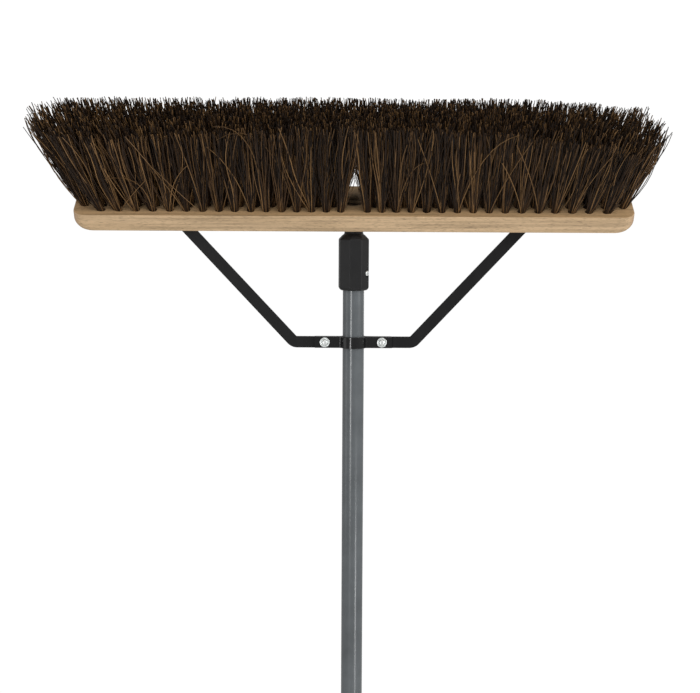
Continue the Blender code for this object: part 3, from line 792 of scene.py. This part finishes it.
# The brush is not quite the same on its left side, -1, and its right side, 1. The fans' tips droop
# by a base amount and a change per row, and the front row's trim falls away from the middle
FAN_REACH = {-1: 42 * MM, 1: 33 * MM}
FAN_DROOP = {-1: (0.4, -0.08), 1: (2.5, -0.3)}
STRAY_REACH = {-1: 1, 1: 0.55}
FRONT_FALL = {-1: 9 * MM, 1: 11 * MM}
FRONT_FALL_SPAN = {-1: 130 * MM, 1: 260 * MM}
SIDE_LIMIT = {-1: 9 * MM, 1: -1 * MM}

# Tones run from 0, near black, to 1, straw. The dark ones follow a beta curve of this shape, and
# the left end of the brush is painted a little paler, as painted light where its leaning fibres
# catch more light
PALE_SHARE = 0.24
PALE_TONES = (0.7, 1)
DARK_CURVE = (1.5, 3.2)
LEFT_PAINTED_LIGHT = 0.07
PAINTED_LIGHT_START = 150 * MM
PAINTED_LIGHT_SPAN = 150 * MM
BENT_TONES = (0.85, 1)

# Long bent fibres in front of the first row: tuft number from the middle, then the bend and the
# free end as (outwards, up) from the tuft's foot, in millimetres
BENT = {
    "left": [(3, (28, 130), (83, 92)), (5, (5, 115), (52, 108)), (12, (4, 56), (48, 44)),
             (9, (20, 22), (51, 59)), (14, (-12, 20), (-34, 44)), (10, (22, 45), (58, 96)),
             (9, (5, 40), (24, 100)), (2, (42, 70), (30, 108)), (11, (-2, 44), (-24, 62)),
             (6, (14, 60), (44, 84)), (13, (26, 40), (40, 88))],
    "right": [(2, (8, 64), (31, 66)), (8, (10, 40), (40, 92)), (11, (-6, 40), (-30, 88)),
              (13, (10, 40), (38, 78)), (5, (-12, 50), (-30, 96)), (12, (14, 50), (24, 92)),
              (3, (22, 70), (20, 104)), (10, (-8, 36), (-26, 66)), (6, (20, 90), (60, 100))],
}


def tip_shift(x, side):
    """How far a tuft's free end leans along the block: out at the ends, in at the bare middle."""
    past = np.clip((np.abs(x) - FAN_START) / FAN_SPAN, 0, None)
    outward = FAN_REACH[side] * past ** FAN_POWER
    inward = MIDDLE_LEAN * np.exp(-(np.abs(x) - TUFT_FIRST) / MIDDLE_SPAN)
    return side * (outward - inward)


def tip_row_place(row):
    """Where a row's tips stand across the block, a little further apart than its tufts."""
    return BLOCK_MIDDLE + (row_place(row) - BLOCK_MIDDLE) * TIP_ROW_SPREAD


def kept_within(lines, axis, low, high):
    """Draw fibres in towards their feet, where they would reach past low or high along an axis."""
    foot = lines[:, :1, axis]
    offset = lines[:, :, axis] - foot
    over = np.maximum(offset.max(1) / (high - foot[:, 0]), offset.min(1) / (low - foot[:, 0]))
    lines[:, :, axis] = foot + offset / np.maximum(1, over)[:, None]


def fibre_ends(rng, row, side):
    """Roots and tips of one half row's fibres, as (x, y) seen from above the block."""
    centres = tuft_places(row, side)
    x = np.repeat(centres, FIBRES_PER_TUFT)
    count = len(x)
    angle = rng.uniform(0, 2 * math.pi, count)
    reach = np.sqrt(rng.uniform(0, 1, count))
    spread = np.stack([reach * np.cos(angle), reach * np.sin(angle)], axis=1)
    root = np.stack([x, np.full(count, row_place(row))], axis=1) + spread * (TUFT_RADIUS - GAP)
    tip = np.stack([x + tip_shift(x, side), np.full(count, tip_row_place(row))], axis=1)
    tuft_lean = rng.normal(0, TUFT_LEAN, (len(centres), 2))
    tip += spread * TIP_RADIUS + np.repeat(tuft_lean, FIBRES_PER_TUFT, axis=0)
    tip += rng.normal(0, TIP_SCATTER, (count, 2)) * (1, TIP_SCATTER_ACROSS)
    stray = rng.uniform(0, 1, count) < STRAY_SHARE
    further = rng.normal(0, STRAY_SCATTER, (stray.sum(), 2))
    tip[stray] += further * (STRAY_REACH[side], STRAY_SCATTER_ACROSS)
    return root, tip


def fibre_paths(rng, root, tip):
    """Each fibre's way from its root to its tip seen from above, bowed and a little wavy."""
    count = len(root)
    s = np.linspace(0, 1, FIBRE_POINTS)[None, :, None]
    share = s + rng.normal(*LEAN_CURVE, (count, 1, 1)) * s * (1 - s)
    bow = rng.normal(0, FIBRE_BOW, (count, 1, 2)) * np.sin(math.pi * s) * s ** 0.5
    wave = rng.normal(0, FIBRE_WAVE, (count, 1, 2)) * np.sin(2 * math.pi * s)
    straight = root[:, None, :] + (tip - root)[:, None, :] * share
    return straight + (wave + bow) * np.minimum(1, 2 * s)


def tip_heights(rng, row, side):
    """Heights of one half row's tips: trimmed, lower at the front and in the fans, some broken."""
    centres = tuft_places(row, side)
    x = np.repeat(centres, FIBRES_PER_TUFT)
    count = len(x)
    front = 0.5 ** row
    ragged = np.abs(rng.normal(0, RAGGED, (count, 1))) * (1 + RAGGED_FRONT * front)
    high = BLOCK_HIGH.z + BRISTLE_LENGTH - ragged
    tuft_height = rng.normal(0, RAGGED_TUFT, (len(centres), 1)) * (1 + RAGGED_TUFT_FRONT * front)
    high += np.repeat(tuft_height, FIBRES_PER_TUFT, axis=0)
    high -= front * FRONT_FALL[side] * np.clip(np.abs(x) / FRONT_FALL_SPAN[side], 0, 1)[:, None]
    droop = FAN_DROOP[side][0] + FAN_DROOP[side][1] * row
    fall = droop * tip_shift(x, side)[:, None] ** 2 / BRISTLE_LENGTH
    high += BACK_RISE * row / (ROWS - 1) - fall
    broken = rng.uniform(0, 1, (count, 1)) < BROKEN_SHARE
    high -= np.where(broken, rng.uniform(*BROKEN_OFF, (count, 1)), 0)
    return high


def fibre_lines(rng, row, side):
    """Centre lines of one half row's fibres, as (fibre, point, xyz) in the head's own frame."""
    root, tip = fibre_ends(rng, row, side)
    flat = fibre_paths(rng, root, tip)
    high = tip_heights(rng, row, side)
    low = BLOCK_HIGH.z - FIBRE_ROOT
    length_share = (high - low) / (BLOCK_HIGH.z + BRISTLE_LENGTH - low)
    flat = root[:, None, :] + (flat - root[:, None, :]) * length_share[:, :, None]
    z = low + (high - low) * np.linspace(0, 1, FIBRE_POINTS)
    lines = np.concatenate([flat, z[:, :, None]], axis=2)
    kept_within(lines, 0, CAD_SIDE[0] - SIDE_LIMIT[-1], CAD_SIDE[1] + SIDE_LIMIT[1])
    reach = tip_row_place(ROWS - 1) + ROW_PITCH * TIP_ROW_SPREAD / 2 + ROW_LIMIT
    kept_within(lines, 1, 2 * BLOCK_MIDDLE - reach, reach)
    return lines


def bent_lines(name, side):
    """Centre lines of one side's long bent fibres, which start in tufts of the front row."""
    s = np.linspace(0, 1, FIBRE_POINTS)[:, None]
    places = tuft_places(0, side)
    front = row_place(0)
    lines = []
    for k, (tuft, bend, end) in enumerate(BENT[name]):
        foot = np.array((places[tuft], front - BENT_FOOT, BLOCK_HIGH.z - FIBRE_ROOT))
        ahead = -(BENT_CLEAR + BENT_STEP * (k % 3))
        turn = foot + np.array((side * bend[0] * MM, ahead, bend[1] * MM + FIBRE_ROOT))
        stop = foot + np.array((side * end[0] * MM, ahead, end[1] * MM + FIBRE_ROOT))
        lines.append((1 - s) ** 2 * foot + 2 * s * (1 - s) * turn + s ** 2 * stop)
    return np.array(lines)


def fibre_mesh(lines, radii, tones):
    """One mesh of thin closed rods round the given lines, with each rod's tone on its points."""
    count, points = lines.shape[:2]
    turn = np.arange(FIBRE_SIDES) * 2 * math.pi / FIBRE_SIDES
    ring = np.stack([np.cos(turn), np.sin(turn), np.zeros(FIBRE_SIDES)], axis=1)
    places = lines[:, :, None, :] + ring[None, None] * radii[:, None, None, None]
    per_fibre = points * FIBRE_SIDES
    k, i = np.meshgrid(np.arange(points - 1), np.arange(FIBRE_SIDES), indexing="ij")
    j = (i + 1) % FIBRE_SIDES
    low, high = k * FIBRE_SIDES, (k + 1) * FIBRE_SIDES
    walls = np.stack([low + i, low + j, high + j, high + i], axis=-1).reshape(-1, 4)
    foot = np.arange(FIBRE_SIDES)[::-1]
    top = per_fibre - FIBRE_SIDES + np.arange(FIBRE_SIDES)
    one = np.concatenate([walls.ravel(), foot, top])
    sizes = np.concatenate([np.full(len(walls), 4), [FIBRE_SIDES, FIBRE_SIDES]])
    corners = (one[None, :] + per_fibre * np.arange(count)[:, None]).ravel()
    sizes = np.tile(sizes, count)
    starts = np.concatenate([[0], np.cumsum(sizes)[:-1]])

    mesh = bpy.data.meshes.new("fibres")
    mesh.vertices.add(count * per_fibre)
    mesh.vertices.foreach_set("co", places.astype(np.float32).ravel())
    mesh.loops.add(len(corners))
    mesh.loops.foreach_set("vertex_index", corners.astype(np.int32))
    mesh.polygons.add(len(starts))
    mesh.polygons.foreach_set("loop_start", starts.astype(np.int32))
    mesh.update(calc_edges=True)
    tone = mesh.attributes.new("tone", "FLOAT", "POINT")
    tone.data.foreach_set("value", np.repeat(tones, per_fibre).astype(np.float32))
    along = mesh.attributes.new("along", "FLOAT", "POINT")
    share = np.repeat(np.linspace(0, 1, points), FIBRE_SIDES)
    along.data.foreach_set("value", np.tile(share, count).astype(np.float32))
    return mesh


def build_bristles():
    """Half a row of tufts per piece; every fibre is its own rod."""
    rng = np.random.default_rng(SEED)
    for row in range(ROWS):
        for name, side in SIDES.items():
            lines = fibre_lines(rng, row, side)
            count = len(lines)
            pale = rng.uniform(0, 1, count) < PALE_SHARE
            tones = np.where(pale, rng.uniform(*PALE_TONES, count), rng.beta(*DARK_CURVE, count))
            # painted light: the left end's fibres are made paler, where they catch more light
            tones += LEFT_PAINTED_LIGHT * np.clip((-lines[:, 0, 0] - PAINTED_LIGHT_START) / PAINTED_LIGHT_SPAN, 0, 1)
            radii = rng.uniform(*FIBRE_RADII, count)
            if row == 0:
                bent = bent_lines(name, side)
                lines = np.concatenate([lines, bent])
                tones = np.concatenate([tones, np.linspace(*BENT_TONES, len(bent))])
                radii = np.concatenate([radii, np.full(len(bent), BENT_RADIUS)])
            node = f"bristle_row_{row + 1}_{name}"
            add_piece(f"fibres_row_{row + 1}_{name}", fibre_mesh(lines, radii, tones),
                      "palmyra_fibre", "head", node, HEAD, sharp=50)


# ---------------------------------------------------------------- brace

def fold_angle():
    """The turn from the upright arms to the block's face."""
    return QUARTER - HANDLE_TILT


def foot_fold():
    """Height above the clamp at which the arms start to fold onto the block."""
    offset = (BAR_THICKNESS / 2 + GAP) / math.cos(HANDLE_TILT)
    tangent = ARM_FOLD_RADIUS * math.tan(fold_angle() / 2)
    return BLOCK_HEIGHT - CLAMP.translation.z - offset - tangent


def bend_point(x, rise, depth):
    """Fold a point of the flat bar about X, from the upright plane onto the block's face."""
    run = rise - foot_fold()
    if run <= 0:
        return (x, depth, rise)
    angle = min(run / ARM_FOLD_RADIUS, fold_angle())
    radius = ARM_FOLD_RADIUS - depth
    y = ARM_FOLD_RADIUS - radius * math.cos(angle)
    z = foot_fold() + radius * math.sin(angle)
    extra = run - angle * ARM_FOLD_RADIUS
    return (x, y + extra * math.sin(angle), z + extra * math.cos(angle))


def knee_sections():
    """Edge points of the flat right arm from the clamp to the end of its knee."""
    half = BAR_WIDTH / 2
    ends = (ARM_INNER_END, ARM_INNER_END + BAR_EDGE, ARM_KNEE)
    sections = [((x, -half), (x, half)) for x in ends]
    centre = (ARM_KNEE, half + ARM_KNEE_RADIUS)
    outer = ARM_KNEE_RADIUS + BAR_WIDTH
    for i in range(1, ARM_STEPS + 1):
        angle = (QUARTER - ARM_SLANT) * i / ARM_STEPS
        way = (math.sin(angle), -math.cos(angle))
        sections.append(tuple((centre[0] + radius * way[0], centre[1] + radius * way[1])
                              for radius in (outer, ARM_KNEE_RADIUS)))
    return sections


def foot_point(reach):
    """Unfolded (x, rise) on the right arm's centre line, at a distance beyond its fold."""
    low, high = knee_sections()[-1]
    rise = foot_fold() + ARM_FOLD_RADIUS * fold_angle() + reach * math.cos(ARM_SLANT)
    middle = ((low[0] + high[0]) / 2, (low[1] + high[1]) / 2)
    return (middle[0] + (rise - middle[1]) * math.tan(ARM_SLANT), rise)


def arm_sections():
    """Lower and upper edge points of the unfolded right arm, from the clamp to its round end."""
    sections = knee_sections()
    low, high = sections[-1]
    slope = math.tan(ARM_SLANT)
    bend = ARM_FOLD_RADIUS * fold_angle()
    for i in range(ARM_STEPS + 1):
        rise = foot_fold() + bend * i / ARM_STEPS
        sections.append(tuple((x + (rise - start) * slope, rise) for x, start in (low, high)))
    half = BAR_WIDTH / 2
    along = (math.sin(ARM_SLANT), math.cos(ARM_SLANT))
    centre = foot_point(FOOT_LENGTH - half)
    for i in range(ARM_STEPS):
        angle = math.radians(END_STEP * i)
        middle = [centre[axis] + half * math.sin(angle) * along[axis] for axis in range(2)]
        reach = half * math.cos(angle)
        sections.append(((middle[0] + reach * along[1], middle[1] - reach * along[0]),
                         (middle[0] - reach * along[1], middle[1] + reach * along[0])))
    return sections


def foot_screw_place(side):
    """The foot screw's place on the block's handle-side face, in the head's own frame."""
    x, rise = foot_point(FOOT_SCREW_REACH)
    point = CLAMP @ Vector(bend_point(x, rise, 0))
    local = HEAD.inverted() @ point
    return Vector((side * local.x, local.y, 0))


def bolt_frame(side, turn=QUARTER):
    """A frame on a bolt's axis whose +Z points to the front, or to the rear for -QUARTER."""
    return Matrix.Translation((side * BOLT_X, 0, 0)) @ Matrix.Rotation(turn, 4, "X")


def bar_profile(width):
    """The bar's rounded section as (place across, depth), for a section of this width."""
    edge = min(BAR_EDGE, 0.45 * width)
    half, thick = width / 2, BAR_THICKNESS / 2
    points = []
    for k, (sx, sy) in enumerate(QUADRANTS):
        points += arc((sx * (half - edge), sy * (thick - edge)), edge, 90 * k, 90 * k + 90, 3)
    return points


def build_arm(side, name):
    """A flat bar bent at a knee, folded flat under the block and rounded at its end."""
    rings = []
    for low, high in arm_sections():
        width = math.dist(low, high)
        ring = []
        for across, depth in bar_profile(width):
            share = across / width + 0.5
            x = low[0] + (high[0] - low[0]) * share
            rise = low[1] + (high[1] - low[1]) * share
            bx, by, bz = bend_point(x, rise, depth)
            ring.append((side * bx, by, bz))
        rings.append(ring)
    mesh = skin_mesh(rings)
    mesh = cut(mesh, drill(BOLT_RADIUS + GAP, HOLE_REACH), bolt_frame(side))
    x, rise = foot_point(FOOT_SCREW_REACH)
    lean = Matrix.Rotation(HANDLE_TILT, 4, "X")
    screw = Matrix.Translation((side * x, *bend_point(x, rise, 0)[1:])) @ lean
    mesh = cut(mesh, drill(FOOT_SCREW_RADIUS + 0.4 * MM, HOLE_REACH), screw)
    add_piece(f"arm_bar_{name}", mesh, "black_paint", "head", f"brace_arm_{name}", CLAMP)


def saddle_outline(facing, inset):
    """The strap's outline seen along the tube: two ears and a half loop; inset thins it."""
    thick = STRAP_THICKNESS / 2
    loop = TUBE_RADIUS + GAP + thick
    ear = BAR_THICKNESS / 2 + GAP + thick
    bend = 3.2 * MM
    bend_y = ear + bend
    bend_x = math.sqrt((loop + bend) ** 2 - bend_y * bend_y)
    touch = math.degrees(math.atan2(bend_y, bend_x))
    line = [(SADDLE_HIGH.x - inset, ear, 0.0, 1.0)]
    for x, y in arc((0, 0), 1, -90, touch - 180, 8):
        line.append((bend_x + bend * x, bend_y + bend * y, -x, -y))
    for x, y in arc((0, 0), 1, touch, 90, 20)[1:]:
        line.append((loop * x, loop * y, x, y))
    line += [(-x, y, -nx, ny) for x, y, nx, ny in reversed(line[:-1])]
    reach = thick - inset
    outer = [(x + nx * reach, facing * (y + ny * reach)) for x, y, nx, ny in line]
    inner = [(x - nx * reach, facing * (y - ny * reach)) for x, y, nx, ny in reversed(line)]
    return outer + inner


def build_saddle(facing, name):
    """A strap that wraps half the tube, with eased edges; facing is -1 in front and 1 behind."""
    half = BAR_WIDTH / 2
    rings = []
    for end in (-1, 1):
        for along, inset in arc((half - STRAP_EDGE, 0), STRAP_EDGE, 90, 0, 4)[::end]:
            outline = saddle_outline(facing, STRAP_EDGE - inset)
            rings.append([(x, y, end * along) for x, y in outline])
    mesh = skin_mesh(rings)
    for side in SIDES.values():
        mesh = cut(mesh, drill(BOLT_RADIUS + GAP, HOLE_REACH), bolt_frame(side))
    add_piece(f"{name}_strap", mesh, "gloss_black_paint", "head", f"clamp_{name}_saddle", CLAMP)


def ear_face():
    """Distance from the arms' middle plane to a fastener's seat, a gap off the strap's ear."""
    return BAR_THICKNESS / 2 + GAP + STRAP_THICKNESS + GAP


def build_bolt(side, name):
    """A flanged button head in front of the ears and a plain shank that ends past the nut."""
    seat = ear_face()
    end = -seat - NUT_HEIGHT - 3.4 * MM
    profile = [(BOLT_RADIUS - 0.6 * MM, end), (BOLT_RADIUS, end + 0.6 * MM), (BOLT_RADIUS, seat)]
    profile += [(5.3 * MM, seat)]
    profile += arc((5.0 * MM, seat + 0.6 * MM), 0.5 * MM, -40, 80, 5)
    profile += [(4.5 * MM, seat + 1.1 * MM), (4.1 * MM, seat + 0.35 * MM),
                (3.6 * MM, seat + 0.35 * MM)]
    profile += arc((1.5 * MM, seat + 0.9 * MM), 2.0 * MM, 0, 90, 8)
    profile += [(0.2 * MM, seat + 2.9 * MM)]
    add_piece(f"button_bolt_{name}", turned(profile), "zinc", "head", f"clamp_bolt_{name}",
              CLAMP @ bolt_frame(side))


def hexagon(across, z, count=48):
    """A hexagon of this half width across its flats."""
    points = []
    for i in range(count):
        angle = 2 * math.pi * i / count
        off = (math.degrees(angle) + 30) % 60 - 30
        radius = across / math.cos(math.radians(off))
        points.append((radius * math.cos(angle), radius * math.sin(angle), z))
    return points


def build_nut(side, name):
    """A hexagon nut with a chamfered bore, behind the ears."""
    low = ear_face()
    high = low + NUT_HEIGHT
    hole = BOLT_RADIUS + 0.1 * MM
    across, ease = NUT_HALF_WIDTH, 0.3 * MM
    chamfer = 0.5 * MM
    rings = [hexagon(across - ease, low), hexagon(across, low + ease),
             hexagon(across, high - ease), hexagon(across - ease, high),
             circle(hole + chamfer, high), circle(hole, high - chamfer),
             circle(hole, low + chamfer), circle(hole + chamfer, low)]
    add_piece(f"hex_nut_{name}", skin_mesh(rings, looped=True), "zinc", "head", f"clamp_nut_{name}",
              CLAMP @ bolt_frame(side, -QUARTER))


def build_foot_screw(side, name):
    """A cross-slotted pan-head wood screw, point up, under the arm's foot."""
    under = -(BAR_THICKNESS + 2 * GAP)
    profile = [(0.3 * MM, under - 2.4 * MM)]
    profile += arc((2.5 * MM, under - 1.0 * MM), 1.4 * MM, -90, 0, 8)
    profile += [(3.9 * MM, under), (FOOT_SCREW_RADIUS, under), (FOOT_SCREW_RADIUS, 5.6 * MM),
                (0.5 * MM, 7.6 * MM)]
    mesh = turned(profile, 40)
    for turn in (0, QUARTER):
        cross = slot_tool(2.4 * MM, 0.4 * MM, under - 3 * MM, under - 1.3 * MM)
        mesh = cut(mesh, cross, Matrix.Rotation(turn, 4, "Z"))
    add_piece(f"pan_screw_{name}", mesh, "zinc", "head", f"brace_screw_{name}",
              HEAD @ Matrix.Translation(foot_screw_place(side)))


# ---------------------------------------------------------------- assembly

def build_broom():
    make_materials()
    build_tube()
    build_hang_cap()
    build_ferrule()
    build_ferrule_screw()
    build_tip_core()
    build_block()
    build_bristles()
    build_saddle(-1, "front")
    build_saddle(1, "rear")
    for name, side in SIDES.items():
        build_arm(side, name)
        build_bolt(side, name)
        build_nut(side, name)
        build_foot_screw(side, name)


def light_studio():
    """World, lights and floor, with the light values in the order that add_soft_box names."""
    bpy.context.scene.view_settings.view_transform = "Standard"
    add_world(seen=1.02, given=0.42)
    add_soft_box("key_left", -25, 3.0, 1.06, (0.26, 0.85), 15, 1.2)
    add_soft_box("side_left", -78, 3.0, 1.3, (1.4, 1.6), 6, 1.35)
    add_soft_box("key_right", 66, 3.2, 2.1, (1.6, 1.4), 40, 1.4)
    add_soft_box("key_top", 12, 2.6, 3.4, (1.6, 1.2), 18, 1.55)
    add_soft_box("low_right", 38, 3.0, 0.24, (0.3, 0.44), 8.5, 1.0)
    add_soft_box("back_fill", 160, 3.0, 2.0, (2.0, 2.0), 12, 1.2)
    add_floor()


add_camera()
build_broom()
light_studio()
